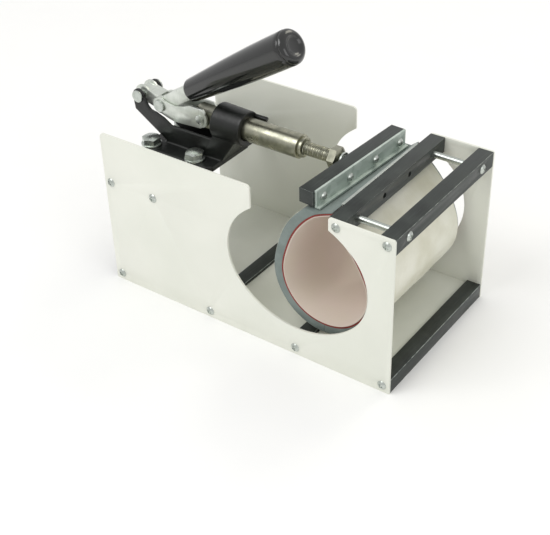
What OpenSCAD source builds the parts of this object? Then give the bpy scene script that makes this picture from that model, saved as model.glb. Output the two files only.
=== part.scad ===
/* [Box frame] */
// Length of the side panels
body_length = 300; // [290:1:320]
// Depth over the outer faces of the two side panels
body_depth = 163; // [150:1:180]
// Height of the left block of each side panel
side_height = 155; // [153:1:160]
// Height of the right column of each side panel
column_height = 152; // [151:0.5:153]
// Thickness of the panel sheet
sheet = 2; // [1.5:0.5:2.5]
// Side of the square bars that join the panels
bar = 14; // [13:0.5:15]

/* [Side cutout] */
// Half width of the oval cutout
cutout_half_w = 69.8; // [66:0.1:70]
// Half height of the oval cutout
cutout_half_h = 59.5; // [57:0.1:61]
// Radius of the two end arcs of the oval
cutout_end_r = 52; // [50:0.5:54]

/* [Heater loop] */
// Diameter of the mug that the loop wraps
mug_d = 81.6; // [80:0.1:83]
// Length of the heater loop along the mug
heater_length = 136; // [120:1:140]
// Thickness of the sponge insulation
insulation_t = 7.5; // [6:0.5:8]

/* [Toggle clamp] */
// Distance from the handle pivot to the link pivot along the plunger
lever_arm = 22.5; // [22:0.5:24]
// Distance between the two pivots of the link
link_length = 47; // [46:0.5:48]
// Angle of the closed handle above the plunger
handle_angle = 32; // [30:1:36]
// Length of the handle grip
grip_length = 134.5; // [128:0.5:140]
// Angle the press bar stands out of square on its single stud
bar_skew = 3.4; // [0:0.1:4]

/* [Hidden] */
$fn = 64;

// Head sizes of the small screws
screw_r = 2.4;
screw_bore_r = 2.5;
screw_head_r = 4.2;
screw_head_h = 2.2;
screw_depth = 12;
recess_l = 3.8;
recess_w = 0.8;
recess_t = 1;

// Handle pivot, left of the panels, with the lever's round end as the leftmost point
ear_r = 6.8;
lever_end_r = 8.5;
pivot_a_from_left = -14.5;

// Place of the panels' left edge, so that the whole object is centred on the origin
left = -(body_length + screw_head_h + pivot_a_from_left - lever_end_r) / 2;
right = left + body_length;
half_depth = body_depth / 2;
inner_y = half_depth - sheet;

// Side panel outline
block_w = 163.4;
column_w = 60.2;
column_left = right - column_w;
oval_x = left + 207.2;
oval_z = 87.9;
oval_side = cutout_half_w - cutout_end_r;
oval_drop = (oval_side * oval_side + cutout_half_h * cutout_half_h - cutout_end_r * cutout_end_r)
    / (2 * (cutout_half_h - cutout_end_r)) - cutout_half_h;
oval_top_r = cutout_half_h + oval_drop;
oval_turn = atan2(oval_drop, oval_side);
corner_r = 4;
arc_step = 2;
oval_step = 4;

// Bars: centre of each in X, and the screws that hold them
base_bar_x = [left + bar / 2, left + 113, left + 206, right - bar / 2];
deck_bar_x = [left + bar / 2, left + 56];
deck_bar_z = 106.5;
deck_top = deck_bar_z + bar / 2;
clamp_bolt_x = [left + 6.5, left + 57.5];
column_bar_z = column_height - bar / 2;
column_bar_x = [column_left + bar / 2, right - bar / 2];
screw_places = concat(
    [for (x = base_bar_x) [x, bar / 2]],
    [for (x = deck_bar_x) [x, deck_bar_z]],
    [for (x = column_bar_x) [x, column_bar_z]]
);
floor_top = 11;
floor_sheet = 1.5;
tie_rod_r = 2.9;
tie_rod_bore_r = 3;
tie_rod_y = 60;
tie_head_r = 4.2;
tie_dome_r = 6;
strip_t = 1;
strip_length = 116;
strip_h = 11.9;
strip_below = 5;
strip_lip_t = 0.8;
strip_screw_l = 9;
strip_screw_y = 20;

// Heater loop, seen from the front: a round pocket and two sides that meet at the top
loop_r = mug_d / 2;
loop_x = left + 227.4;
loop_z = 75;
liner_t = 0.5;
element_t = 0.4;
blanket_t = 1.6;
blanket_tail_z = 128.8;
blanket_tail_top = column_height - 1;
cover_t = 0.6;
liner_out = liner_t;
element_out = liner_out + element_t;
blanket_out = element_out + blanket_t;
insulation_out = blanket_out + insulation_t;
cover_out = insulation_out + cover_t;
fixed_turn = 20;
fixed_side_r = 90;
fixed_end_angle = 48;
blanket_end_angle = 52;
element_short = 4;
moving_turn = 170;
moving_side_r = 85;
moving_end_angle = 114;
sponge_end_angle = 124;
cover_end_angle = 134;
element_bands = 5;
element_band_w = 16;
thermocouple_r = 1.2;
thermocouple_l = 30;
thermocouple_angle = -30;

// Toggle clamp
axis_z = 151.5;
pivot_a = [left + pivot_a_from_left, axis_z + 6];
pivot_b = [pivot_a[0] + lever_arm, axis_z + 1];
pivot_c = [pivot_b[0] + sqrt(link_length * link_length - 1), axis_z];
pin_r = 4;
pin_bore_r = 4.06;
pin_head_r = 5.8;
pin_head_h = 2;
ear_in = 10.2;
ear_t = 3;
ear_foot = 5.5;
cheek_low_x = left + 19;
cheek_drop = 14;
nose_margin = 0.5;
lever_out = 6.9;
lever_t = 2.2;
lever_w = 13;
lever_knee_r = 8;
lever_in_grip = 40;
lever_web_start = 12;
link_in = 7.2;
link_t = 2.6;
link_b_r = 7.8;
link_c_r = 8;
link_belly = 12;
link_dip = 3;
link_top = 10.5;
link_end_head_r = 4.6;
link_end_head_h = 1;
base_w = 63;
base_l = 80;
base_t = 5.5;
base_top = deck_top + base_t;
clamp_bolt_r = 4;
clamp_bolt_y = 23.5;
bolt_head_r = 9;
bolt_head_h = 6.8;
bolt_reach = 11;
washer_r = 9.6;
base_corner = 7;
washer_t = 1.6;
nose_x = left + 71;
nose_end = left + 102;
nose_r = 17;
nose_end_r = 16;
stop_pin_r = 2.1;
stop_pin_y = 10.8;
stop_pin_z = axis_z + 8.3;
stop_pin_in = 11;
stop_pin_out = 13;
sleeve_r = 10.8;
nose_bore_r = sleeve_r + 0.06;
sleeve_end = left + 159;
sleeve_full = pivot_c[0] + 22;
tang_half = 6.8;
tang_half_h = 8.3;
tang_end = 8.5;
spindle_bore = 50;
spindle_in = 45;
thread_r = 6;
thread_bore_r = 6.06;
spindle_head_x = left + 190.5;
spindle_head_t = 9.5;
collar_r = 9;
collar_t = 4;
hex_r = 10.4;
bar_gap = 5;
press_bar_w = 14;
press_bar_h = 13;
press_bar_l = 130;
press_bar_left = spindle_head_x + spindle_head_t + bar_gap;
angle_t = 2;
angle_low = axis_z - press_bar_h / 2 - angle_t;
heater_gap = 0.6;
foot_gap = 0.2;
stud_r = 3;
stud_in = 10;
stud_ring_r = 4.6;
stud_washer_r = 7;
stud_washer_t = 2;
angle_h = 16;
angle_foot = 3.4;
angle_l = 126;
angle_screw_pitch = 36;
angle_screw_z = axis_z - 1.2;
angle_screw_r = 4;
angle_screw_h = 2.6;
angle_dome_r = 5.2;
angle_screw_l = 9;
grip_start = 37;
grip_small_r = 10.9;
grip_large_r = 15.6;
grip_cap = 6.5;
grip_steps = 8;
socket_w = 13.2;
socket_t = 14;

// Colours
white_paint = [0.87, 0.88, 0.84];
black_bar = [0.16, 0.17, 0.16];
cast_black = [0.08, 0.08, 0.08];
zinc = [0.75, 0.77, 0.72];
bright_steel = [0.72, 0.70, 0.62];
galvanised = [0.55, 0.60, 0.56];
sponge_grey = [0.46, 0.52, 0.50];
silicone_red = [0.54, 0.16, 0.12];
liner_beige = [0.65, 0.59, 0.53];
cover_cream = [0.80, 0.80, 0.74];

// Extrudes an outline drawn in X and Z along Y
module slab(y0, y1) {
    translate([0, y1, 0]) rotate([90, 0, 0]) linear_extrude(y1 - y0) children();
}

// Round bar along Y
module rod_y(x, z, r, y0, y1) {
    translate([x, y1, z]) rotate([90, 0, 0]) cylinder(r = r, h = y1 - y0);
}

// Round bar along X
module rod_x(x0, x1, y, z, r) {
    translate([x0, y, z]) rotate([0, 90, 0]) cylinder(r = r, h = x1 - x0);
}

// What is cut off an outline's outer corner to round it
module corner_cut(x, z, right_side, r) {
    side = right_side ? 1 : -1;
    difference() {
        translate([right_side ? x - r : x - 1, z - r]) square([r + 1, r + 1]);
        translate([x - side * r, z - r]) circle(r = r);
    }
}

// Points on an arc about [x, z]
function arc(x, z, r, a0, a1, step = arc_step) = let (n = ceil(abs(a1 - a0) / step))
    [for (i = [0 : n]) [x + r * cos(a0 + (a1 - a0) * i / n), z + r * sin(a0 + (a1 - a0) * i / n)]];

function reversed(points) = [for (i = [len(points) - 1 : -1 : 0]) points[i]];

// Upper half of the oval's right end and its shallow top arc, then the same turned half round
module oval_cutout() {
    half = concat(
        arc(oval_side, 0, cutout_end_r, -oval_turn, oval_turn, oval_step),
        arc(0, -oval_drop, oval_top_r, oval_turn + 1, 180 - oval_turn - 1, oval_step)
    );
    translate([oval_x, oval_z]) polygon(concat(half, [for (point = half) -point]));
}

module panel_outline() {
    difference() {
        union() {
            translate([left, 0]) square([body_length, column_height]);
            translate([left, 0]) square([block_w, side_height]);
        }
        oval_cutout();
        translate([left + block_w, oval_z + 20])
            square([body_length - block_w - column_w, side_height]);
        corner_cut(left, side_height, false, corner_r);
        corner_cut(left + block_w, side_height, true, corner_r);
        corner_cut(column_left, column_height, false, corner_r / 2);
        corner_cut(right, column_height, true, corner_r / 2);
        for (place = screw_places) translate(place) circle(r = screw_bore_r);
    }
}

module front_panel() {
    color(white_paint) slab(-half_depth, -inner_y) panel_outline();
}

module rear_panel() {
    color(white_paint) slab(inner_y, half_depth) panel_outline();
}

// Square bar between the panels, with a threaded hole in each end
module cross_bar(x, z) {
    color(black_bar) difference() {
        translate([x - bar / 2, -inner_y, z - bar / 2]) cube([bar, 2 * inner_y, bar]);
        for (side = [-1, 1]) scale([1, side, 1])
            rod_y(x, z, screw_bore_r, inner_y - screw_depth - 1, inner_y + 1);
        children();
    }
}

module deck_bar(i) {
    cross_bar(deck_bar_x[i], deck_bar_z)
        for (side = [-1, 1]) translate([clamp_bolt_x[i], side * clamp_bolt_y, deck_top - screw_depth])
            cylinder(r = clamp_bolt_r, h = screw_depth + 1);
}

module column_bar_inner() {
    x = column_bar_x[0];
    cross_bar(x, column_bar_z) {
        for (side = [-1, 1]) {
            rod_x(x - bar / 2 + 2, x + bar, side * tie_rod_y, column_bar_z, tie_rod_bore_r);
            rod_x(x - bar, x + bar, side * strip_screw_y, column_bar_z, screw_bore_r);
        }
    }
}

module column_bar_outer() {
    x = column_bar_x[1];
    cross_bar(x, column_bar_z)
        for (side = [-1, 1])
            rod_x(x - bar, x + bar, side * tie_rod_y, column_bar_z, tie_rod_bore_r);
}

// Folded sheet that covers the floor between two base bars
module floor_cover(bay) {
    x0 = base_bar_x[bay] + bar / 2;
    x1 = base_bar_x[bay + 1] - bar / 2;
    color(white_paint) difference() {
        translate([x0, -inner_y, 0.5]) cube([x1 - x0, 2 * inner_y, floor_top - 0.5]);
        translate([x0 + floor_sheet, -body_depth, 0])
            cube([x1 - x0 - 2 * floor_sheet, 2 * body_depth, floor_top - floor_sheet]);
    }
}

// Dome-headed screw along -Y, its head's seat at y
module panel_screw(x, y, z) {
    translate([x, y, z]) rotate([90, 0, 0]) {
        translate([0, 0, -screw_depth]) cylinder(r = screw_r, h = screw_depth + 0.5);
        difference() {
            intersection() {
                cylinder(r = screw_head_r, h = screw_head_h);
                translate([0, 0, screw_head_h - 2 * screw_head_r]) sphere(r = 2 * screw_head_r);
            }
            for (turn = [0, 90]) rotate(turn)
                translate([-recess_l / 2, -recess_w / 2, screw_head_h - recess_t])
                    cube([recess_l, recess_w, 2 * recess_t]);
        }
    }
}

module panel_screws_front() {
    color(zinc) for (place = screw_places) panel_screw(place[0], -half_depth, place[1]);
}

module panel_screws_rear() {
    color(zinc) for (place = screw_places) rotate(180)
        panel_screw(-place[0], -half_depth, place[1]);
}

module tie_rod(y) {
    color(zinc) {
        rod_x(column_bar_x[0] - bar / 2 + 3, right + 0.5, y, column_bar_z, tie_rod_r);
        translate([right, y, column_bar_z]) rotate([0, 90, 0]) intersection() {
            cylinder(r = tie_head_r, h = screw_head_h);
            translate([0, 0, screw_head_h - tie_dome_r]) sphere(r = tie_dome_r);
        }
    }
}

// Thin strip with a folded lip that clamps the fixed end of the blanket to the inner column bar
module blanket_strip() {
    strip_low = column_bar_z - strip_below;
    color(bright_steel) difference() {
        translate([column_left - blanket_t - strip_t, -strip_length / 2, 0]) union() {
            translate([0, 0, strip_low]) cube([strip_t, strip_length, strip_h]);
            translate([0, 0, strip_low + strip_h - strip_lip_t])
                cube([strip_t + blanket_t - 0.05, strip_length, strip_lip_t]);
        }
        for (side = [-1, 1])
            rod_x(left, right, side * strip_screw_y, column_bar_z, screw_bore_r);
    }
}

module strip_screws() {
    color(zinc) for (side = [-1, 1])
        rod_x(column_left - blanket_t - strip_t, column_left + strip_screw_l, side * strip_screw_y,
              column_bar_z, screw_r);
}

// Outline of the loop's right side at some distance outside the mug, from the bottom upwards
function fixed_curve(out, end_angle) = let (shift = fixed_side_r - loop_r) concat(
    arc(loop_x, loop_z, loop_r + out, -90, fixed_turn - arc_step),
    arc(loop_x - shift * cos(fixed_turn), loop_z - shift * sin(fixed_turn),
        fixed_side_r + out, fixed_turn, end_angle)
);

// Outline of the loop's left side, from the top down to the bottom
function moving_curve(out, end_angle) = let (shift = moving_side_r - loop_r) concat(
    arc(loop_x - shift * cos(moving_turn), loop_z - shift * sin(moving_turn),
        moving_side_r + out, end_angle, moving_turn),
    arc(loop_x, loop_z, loop_r + out, moving_turn + arc_step, 270)
);

// Right half of a heater layer, up to the inner column bar
module fixed_layer(from, to, end_angle, width = heater_length) {
    slab(-width / 2, width / 2)
        polygon(concat(fixed_curve(to, end_angle), reversed(fixed_curve(from, end_angle))));
}

// Left half of a heater layer, up to the press bar
module moving_layer(from, to, end_angle, width = heater_length) {
    slab(-width / 2, width / 2)
        polygon(concat(moving_curve(to, end_angle), reversed(moving_curve(from, end_angle))));
}

module outer_cover_fixed() {
    color(cover_cream) fixed_layer(insulation_out, cover_out, fixed_end_angle);
}

module insulation_fixed() {
    color(sponge_grey) difference() {
        fixed_layer(blanket_out, insulation_out, fixed_end_angle);
        thermocouple_rod(thermocouple_r, thermocouple_l + 1);
    }
}

// The blanket's end stands up behind the strip
module heating_blanket_fixed() {
    tail_x = column_left - blanket_t;
    color(silicone_red) {
        fixed_layer(element_out, blanket_out, blanket_end_angle);
        difference() {
            translate([tail_x, -strip_length / 2, blanket_tail_z])
                cube([blanket_t, strip_length, blanket_tail_top - blanket_tail_z]);
            for (side = [-1, 1])
                rod_x(left, right, side * strip_screw_y, column_bar_z, screw_bore_r);
        }
    }
}

// Foil bands of the heating element, side by side between blanket and liner
module element(moving) {
    pitch = heater_length / element_bands;
    color("goldenrod") for (i = [0 : element_bands - 1])
        translate([0, (i - (element_bands - 1) / 2) * pitch, 0])
            if (moving)
                moving_layer(liner_out, element_out, moving_end_angle + element_short, element_band_w);
            else
                fixed_layer(liner_out, element_out, fixed_end_angle - element_short, element_band_w);
}

module heating_element_fixed() {
    element(false);
}

module heating_element_moving() {
    element(true);
}

module liner_fixed() {
    color(liner_beige) fixed_layer(0, liner_out, fixed_end_angle + arc_step);
}

module thermocouple_rod(r, length) {
    reach = loop_r + blanket_out + thermocouple_r + 0.4;
    rod_y(loop_x + reach * cos(thermocouple_angle), loop_z + reach * sin(thermocouple_angle),
          r, -length / 2, length / 2);
}

module thermocouple() {
    color(bright_steel) thermocouple_rod(thermocouple_r - 0.1, thermocouple_l);
}

// The moving end is pressed flat under the bar and the angle
module below_angle() {
    difference() {
        children();
        translate([press_bar_left - 30, -body_depth, angle_low - heater_gap])
            cube([80, 2 * body_depth, bar]);
    }
}

// The blanket's end passes under the angle's foot
module below_foot() {
    difference() {
        children();
        skewed() translate([-bar, -body_depth, angle_low - foot_gap])
            cube([bar + press_bar_w + angle_t + angle_foot + foot_gap, 2 * body_depth, 2 * bar]);
    }
}

module outer_cover_moving() {
    color(cover_cream) moving_layer(insulation_out, cover_out, cover_end_angle);
}

module insulation_moving() {
    color(sponge_grey) below_angle()
        moving_layer(blanket_out, insulation_out, sponge_end_angle);
}

module heating_blanket_moving() {
    color(silicone_red) below_foot() moving_layer(element_out, blanket_out, moving_end_angle);
}

module liner_moving() {
    color(liner_beige) moving_layer(0, liner_out, moving_end_angle);
}

// Side view of one cheek of the cast body, with the ear that holds the handle
module cheek_outline() {
    difference() {
        union() {
            translate(pivot_a) circle(r = ear_r);
            polygon([
                [pivot_a[0] - ear_r, pivot_a[1]],
                [pivot_a[0] - ear_foot, axis_z - 8],
                [cheek_low_x, base_top - 1],
                [nose_x + 9, base_top - 1],
                [nose_x + 9, axis_z - cheek_drop + 2],
                [nose_x - 2, axis_z - cheek_drop],
                [left + 22, axis_z - cheek_drop],
                [left + 14, axis_z - 9],
                [left + 5, axis_z - 5.8],
                [left - 1, axis_z - 4.6],
                [pivot_a[0] + ear_r + 3.2, axis_z - 1],
                [pivot_a[0] + ear_r, pivot_a[1]]
            ]);
        }
        translate(pivot_a) circle(r = pin_bore_r);
    }
}

module clamp_body() {
    cheek_out = ear_in + ear_t;
    color(cast_black) difference() {
        union() {
            translate([left, -base_w / 2, deck_top]) cube([base_l, base_w, base_t]);
            for (y0 = [-cheek_out, ear_in]) slab(y0, y0 + ear_t) cheek_outline();
            translate([nose_x, 0, axis_z]) rotate([0, 90, 0])
                cylinder(r1 = nose_r, r2 = nose_end_r, h = nose_end - nose_x);
            slab(-cheek_out - nose_margin, cheek_out + nose_margin) polygon([
                [nose_x - 12, base_top - 1], [left + base_l, base_top - 1],
                [nose_end - 6, axis_z - 10], [nose_x, axis_z - 10]
            ]);
        }
        rod_x(nose_x - 30, nose_end + 1, 0, axis_z, nose_bore_r);
        for (x = clamp_bolt_x, side = [-1, 1])
            translate([x, side * clamp_bolt_y, deck_top - 1])
                cylinder(r = clamp_bolt_r + 0.4, h = base_t + 2);
        for (corner_x = [0, base_l], side = [-1, 1])
            translate([left + corner_x, side * base_w / 2, deck_top - 1]) rotate(45)
                cube([base_corner, base_corner, 3 * base_t], center = true);
        rod_x(nose_end - stop_pin_in - 1, nose_end + 1, stop_pin_y, stop_pin_z, stop_pin_r + 0.05);
    }
}

module clamp_bolts() {
    color(zinc) for (x = clamp_bolt_x, side = [-1, 1])
        translate([x, side * clamp_bolt_y, base_top + washer_t]) {
            translate([0, 0, -washer_t - base_t - bolt_reach])
                cylinder(r = clamp_bolt_r - 0.05, h = washer_t + base_t + bolt_reach + 1);
            rotate(15) cylinder(r = bolt_head_r, h = bolt_head_h, $fn = 6);
        }
}

module clamp_washers() {
    color(zinc) for (x = clamp_bolt_x, side = [-1, 1])
        translate([x, side * clamp_bolt_y, base_top]) difference() {
            cylinder(r = washer_r, h = washer_t);
            translate([0, 0, -1]) cylinder(r = clamp_bolt_r + 0.2, h = washer_t + 2);
        }
}

// Small pin beside the plunger in the face of the nose
module stop_pin() {
    color(cast_black)
        rod_x(nose_end - stop_pin_in, nose_end + stop_pin_out, stop_pin_y, stop_pin_z, stop_pin_r);
}

// Rivet along Y with a flat head at both ends
module rivet(place, half_grip) {
    color(zinc) {
        rod_y(place[0], place[1], pin_r, -half_grip - 0.5, half_grip + 0.5);
        for (y0 = [-half_grip - pin_head_h, half_grip])
            rod_y(place[0], place[1], pin_head_r, y0, y0 + pin_head_h);
    }
}

module handle_rivet() {
    rivet(pivot_a, ear_in + ear_t);
}

module link_rivet() {
    rivet(pivot_b, link_in + link_t + 0.1);
}

// Pressed steel channel: two side plates and two webs above them, open below
module handle_lever() {
    reach = grip_start + lever_in_grip;
    arm_turn = atan2(pivot_b[1] - pivot_a[1], lever_arm);
    color(zinc) difference() {
        union() {
            for (y0 = [-lever_out, lever_out - lever_t]) slab(y0, y0 + lever_t) {
                translate(pivot_a) circle(r = lever_end_r);
                translate(pivot_b) circle(r = lever_knee_r);
                translate(pivot_a) rotate(arm_turn)
                    translate([0, -lever_w / 2]) square([lever_arm, lever_w]);
                translate(pivot_b) rotate(handle_angle) translate([0, -lever_w / 2])
                    square([reach, lever_w]);
            }
            slab(-lever_out, lever_out) translate(pivot_a) rotate(arm_turn)
                translate([-2, lever_w / 2 - lever_t]) square([lever_arm - 2, lever_t]);
            slab(-lever_out, lever_out) translate(pivot_b) rotate(handle_angle)
                translate([lever_web_start, lever_w / 2 - lever_t])
                    square([reach - lever_web_start, lever_t]);
        }
        for (pivot = [pivot_a, pivot_b]) rod_y(pivot[0], pivot[1], pin_bore_r, -10, 10);
    }
}

// Tapered grip with a rounded end, hollow where it covers the lever
module handle_grip() {
    swell = grip_large_r - grip_small_r;
    rise = grip_length - grip_cap - 3;
    translate([pivot_b[0], 0, pivot_b[1]]) rotate([0, 90 - handle_angle, 0])
        color(cast_black) difference() {
            translate([0, 0, grip_start]) rotate_extrude() polygon(concat(
                [[0, 0], [grip_small_r - 3, 0], [grip_small_r - 1, 0.8]],
                [for (i = [0 : grip_steps])
                    [grip_small_r + swell * sin(90 * i / grip_steps), 3 + rise * i / grip_steps]],
                [[grip_large_r - 0.6, grip_length - 5.8], [grip_large_r - 0.6, grip_length - 5.2],
                 [grip_large_r - 0.2, grip_length - 4.2], [grip_large_r - 1.2, grip_length - 2.2],
                 [grip_large_r - 2.4, grip_length - 1], [grip_large_r - 3.6, grip_length - 0.3],
                 [grip_large_r - 5, grip_length], [0, grip_length]]
            ));
            translate([-socket_w / 2, -socket_t / 2, grip_start - 1])
                cube([socket_w, socket_t, lever_in_grip + 2]);
        }
}

// Strap between the lever and the plunger, widest in the middle
module link_plate(y0) {
    color(zinc) slab(y0, y0 + link_t) difference() {
        union() {
            translate(pivot_b) circle(r = link_b_r);
            translate(pivot_c) circle(r = link_c_r);
            polygon([
                pivot_b + [0, -link_b_r + 0.4], pivot_b + [0.2 * link_length, 1.5 - link_belly],
                pivot_b + [0.35 * link_length, -link_belly], pivot_b + [0.7 * link_length, 1 - link_belly],
                pivot_c + [0, -link_c_r - 1], pivot_c + [6, -5], pivot_c + [6, link_c_r - 1],
                pivot_c + [3, link_top], pivot_b + [0.75 * link_length, link_top - 1],
                pivot_b + [0.6 * link_length, 2.2 * link_dip], pivot_b + [0.4 * link_length, 1.3 * link_dip],
                pivot_b + [0.2 * link_length, 1.6 * link_dip], pivot_b + [0, link_b_r - 1]
            ]);
        }
        translate(pivot_b) circle(r = pin_bore_r);
    }
}

module link_front() {
    link_plate(-link_in - link_t);
}

module link_rear() {
    link_plate(link_in);
}

// Outer heads of the plunger pivot, carried by the link plates
module link_end_rivets() {
    seat = link_in + link_t;
    color(zinc) for (y0 = [-seat - link_end_head_h, seat])
        rod_y(pivot_c[0], pivot_c[1], link_end_head_r, y0, y0 + link_end_head_h);
}

// Plunger: a round sleeve with a flat tang behind it, bored for the spindle
module plunger_sleeve() {
    color(bright_steel) difference() {
        union() {
            rod_x(sleeve_full, sleeve_end, 0, axis_z, sleeve_r);
            translate([pivot_c[0] - tang_end, -tang_half, axis_z - tang_half_h])
                cube([sleeve_full - pivot_c[0] + tang_end + 1, 2 * tang_half, 2 * tang_half_h]);
        }
        rod_y(pivot_c[0], pivot_c[1], pin_r, -20, 20);
        rod_x(sleeve_end - spindle_bore, sleeve_end + 1, 0, axis_z, thread_bore_r);
    }
}

module plunger_pin() {
    color(zinc) rod_y(pivot_c[0], pivot_c[1], pin_r - 0.05, -tang_half, tang_half);
}

// Ring at the mouth of the sleeve that locks the spindle
module spindle_collar() {
    color(bright_steel) difference() {
        rod_x(sleeve_end, sleeve_end + collar_t, 0, axis_z, collar_r);
        rod_x(sleeve_end - 1, sleeve_end + collar_t + 1, 0, axis_z, thread_bore_r);
    }
}

module spindle() {
    color(bright_steel) difference() {
        union() {
            rod_x(sleeve_end - spindle_in, spindle_head_x + 1, 0, axis_z, thread_r);
            translate([spindle_head_x, 0, axis_z]) rotate([0, 90, 0]) rotate(15)
                cylinder(r = hex_r, h = spindle_head_t, $fn = 6);
        }
        rod_x(spindle_head_x + 2, press_bar_left, 0, axis_z, stud_r + 0.06);
    }
}

// Turns what it holds about the stud, as the press bar stands
module skewed() {
    translate([press_bar_left, 0, 0]) rotate(-bar_skew) children();
}

module bar_stud() {
    color(zinc) {
        rod_x(spindle_head_x + 3, press_bar_left + stud_in, 0, axis_z, stud_r);
        rod_x(spindle_head_x + spindle_head_t + stud_washer_t + 0.6, press_bar_left - 0.6, 0, axis_z,
              stud_ring_r);
    }
}

module stud_washer() {
    face = spindle_head_x + spindle_head_t;
    color(zinc) difference() {
        rod_x(face + 0.4, face + stud_washer_t + 0.4, 0, axis_z, stud_washer_r);
        rod_x(face - 1, face + 4, 0, axis_z, stud_r + 0.1);
    }
}

module press_bar() {
    color(black_bar) difference() {
        skewed() difference() {
            translate([0, -press_bar_l / 2, axis_z - press_bar_h / 2])
                cube([press_bar_w, press_bar_l, press_bar_h]);
            for (i = [-1.5 : 1 : 1.5])
                rod_x(press_bar_w - angle_screw_l, press_bar_w + 5, i * angle_screw_pitch,
                      angle_screw_z, screw_bore_r);
        }
        rod_x(press_bar_left - 5, press_bar_left + stud_in + 0.5, 0, axis_z, stud_r + 0.1);
    }
}

// Folded angle on the bar's right face, its foot turned out above the heater's end
module clamp_angle() {
    color(galvanised) skewed() difference() {
        union() {
            translate([press_bar_w, -angle_l / 2, angle_low]) cube([angle_t, angle_l, angle_h]);
            translate([press_bar_w, -angle_l / 2, angle_low])
                cube([angle_t + angle_foot, angle_l, angle_t]);
        }
        for (i = [-1.5 : 1 : 1.5])
            rod_x(press_bar_w - 5, press_bar_w + 5, i * angle_screw_pitch, angle_screw_z,
                  screw_bore_r + 0.2);
    }
}

module angle_screws() {
    color(zinc) skewed() for (i = [-1.5 : 1 : 1.5])
        translate([press_bar_w + angle_t, i * angle_screw_pitch, angle_screw_z]) rotate([0, 90, 0]) {
            translate([0, 0, -angle_screw_l]) cylinder(r = screw_r, h = angle_screw_l + 0.5);
            intersection() {
                cylinder(r = angle_screw_r, h = angle_screw_h);
                translate([0, 0, angle_screw_h - angle_dome_r]) sphere(r = angle_dome_r);
            }
        }
}

front_panel();
rear_panel();
cross_bar(base_bar_x[0], bar / 2);  // base_bar_1
cross_bar(base_bar_x[1], bar / 2);  // base_bar_2
cross_bar(base_bar_x[2], bar / 2);  // base_bar_3
cross_bar(base_bar_x[3], bar / 2);  // base_bar_4
deck_bar(0);  // deck_bar_1
deck_bar(1);  // deck_bar_2
column_bar_inner();
column_bar_outer();
floor_cover(0);  // floor_cover_1
floor_cover(1);  // floor_cover_2
floor_cover(2);  // floor_cover_3
panel_screws_front();
panel_screws_rear();
tie_rod(-tie_rod_y);  // tie_rod_front
tie_rod(tie_rod_y);  // tie_rod_rear
blanket_strip();
strip_screws();
clamp_body();
clamp_bolts();
clamp_washers();
stop_pin();
handle_rivet();
outer_cover_fixed();
insulation_fixed();
heating_blanket_fixed();
heating_element_fixed();
liner_fixed();
thermocouple();
handle_lever();
handle_grip();
link_rivet();
link_front();
link_rear();
link_end_rivets();
plunger_sleeve();
plunger_pin();
press_bar();
clamp_angle();
angle_screws();
bar_stud();
stud_washer();
outer_cover_moving();
insulation_moving();
heating_blanket_moving();
heating_element_moving();
liner_moving();
spindle();
spindle_collar();
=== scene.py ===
from math import ceil, cos, pi, radians, sin, tan

import bmesh
import bpy
from mathutils import Matrix, Vector, noise


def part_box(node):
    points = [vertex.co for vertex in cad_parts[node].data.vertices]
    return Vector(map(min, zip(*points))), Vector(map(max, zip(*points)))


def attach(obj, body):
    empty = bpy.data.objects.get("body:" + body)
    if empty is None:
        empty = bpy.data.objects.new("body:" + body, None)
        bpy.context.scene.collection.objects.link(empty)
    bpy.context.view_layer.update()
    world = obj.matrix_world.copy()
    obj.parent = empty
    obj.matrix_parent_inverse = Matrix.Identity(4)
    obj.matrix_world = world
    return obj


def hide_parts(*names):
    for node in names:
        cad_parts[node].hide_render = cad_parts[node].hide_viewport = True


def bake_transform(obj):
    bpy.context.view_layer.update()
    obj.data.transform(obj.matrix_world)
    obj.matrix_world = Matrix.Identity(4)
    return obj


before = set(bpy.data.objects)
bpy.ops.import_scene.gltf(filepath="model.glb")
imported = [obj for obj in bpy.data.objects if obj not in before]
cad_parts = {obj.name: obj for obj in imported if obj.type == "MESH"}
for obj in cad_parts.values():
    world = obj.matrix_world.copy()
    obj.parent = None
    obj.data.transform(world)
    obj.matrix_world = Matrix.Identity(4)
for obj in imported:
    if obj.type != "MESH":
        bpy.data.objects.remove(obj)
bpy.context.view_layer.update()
MM = 0.001

# ---------------------------------------------------------------- bench, lights and camera
# A plain pale bench top, one large soft light above, a lower fill and a rim from behind.
# The camera stands about a metre away, in front of the mug end and well above it.


def linear(hex_colour):
    """An sRGB hex colour as linear red, green, blue and alpha."""
    parts = [int(hex_colour[i:i + 2], 16) / 255 for i in (1, 3, 5)]
    return tuple(p / 12.92 if p <= 0.04045 else ((p + 0.055) / 1.055) ** 2.4 for p in parts) + (1.0,)


def add_node(tree, kind, inputs=None, **settings):
    """Adds a node; an input given as a socket is linked, and any other value is set on it."""
    made = tree.nodes.new(kind)
    for name, value in settings.items():
        setattr(made, name, value)
    for name, value in (inputs or {}).items():
        if isinstance(value, bpy.types.NodeSocket):
            tree.links.new(value, made.inputs[name])
        else:
            made.inputs[name].default_value = value
    return made


def new_finish(name, **constants):
    """A material with its shader's constants set; gives it, its tree, shader and Object coordinates."""
    made = bpy.data.materials.new(name)
    made.use_nodes = True
    tree = made.node_tree
    shader = tree.nodes["Principled BSDF"]
    for socket, value in constants.items():
        shader.inputs[socket.replace("_", " ")].default_value = value
    coords = add_node(tree, "ShaderNodeTexCoord").outputs["Object"]
    return made, tree, shader, coords


def mix_colours(tree, factor, first, second):
    """A blend of two colours, hex or socket, by a factor socket."""
    values = [v if isinstance(v, bpy.types.NodeSocket) else linear(v) for v in (first, second)]
    made = add_node(tree, "ShaderNodeMix", {0: factor, 6: values[0], 7: values[1]}, data_type="RGBA")
    return made.outputs[2]


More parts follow.
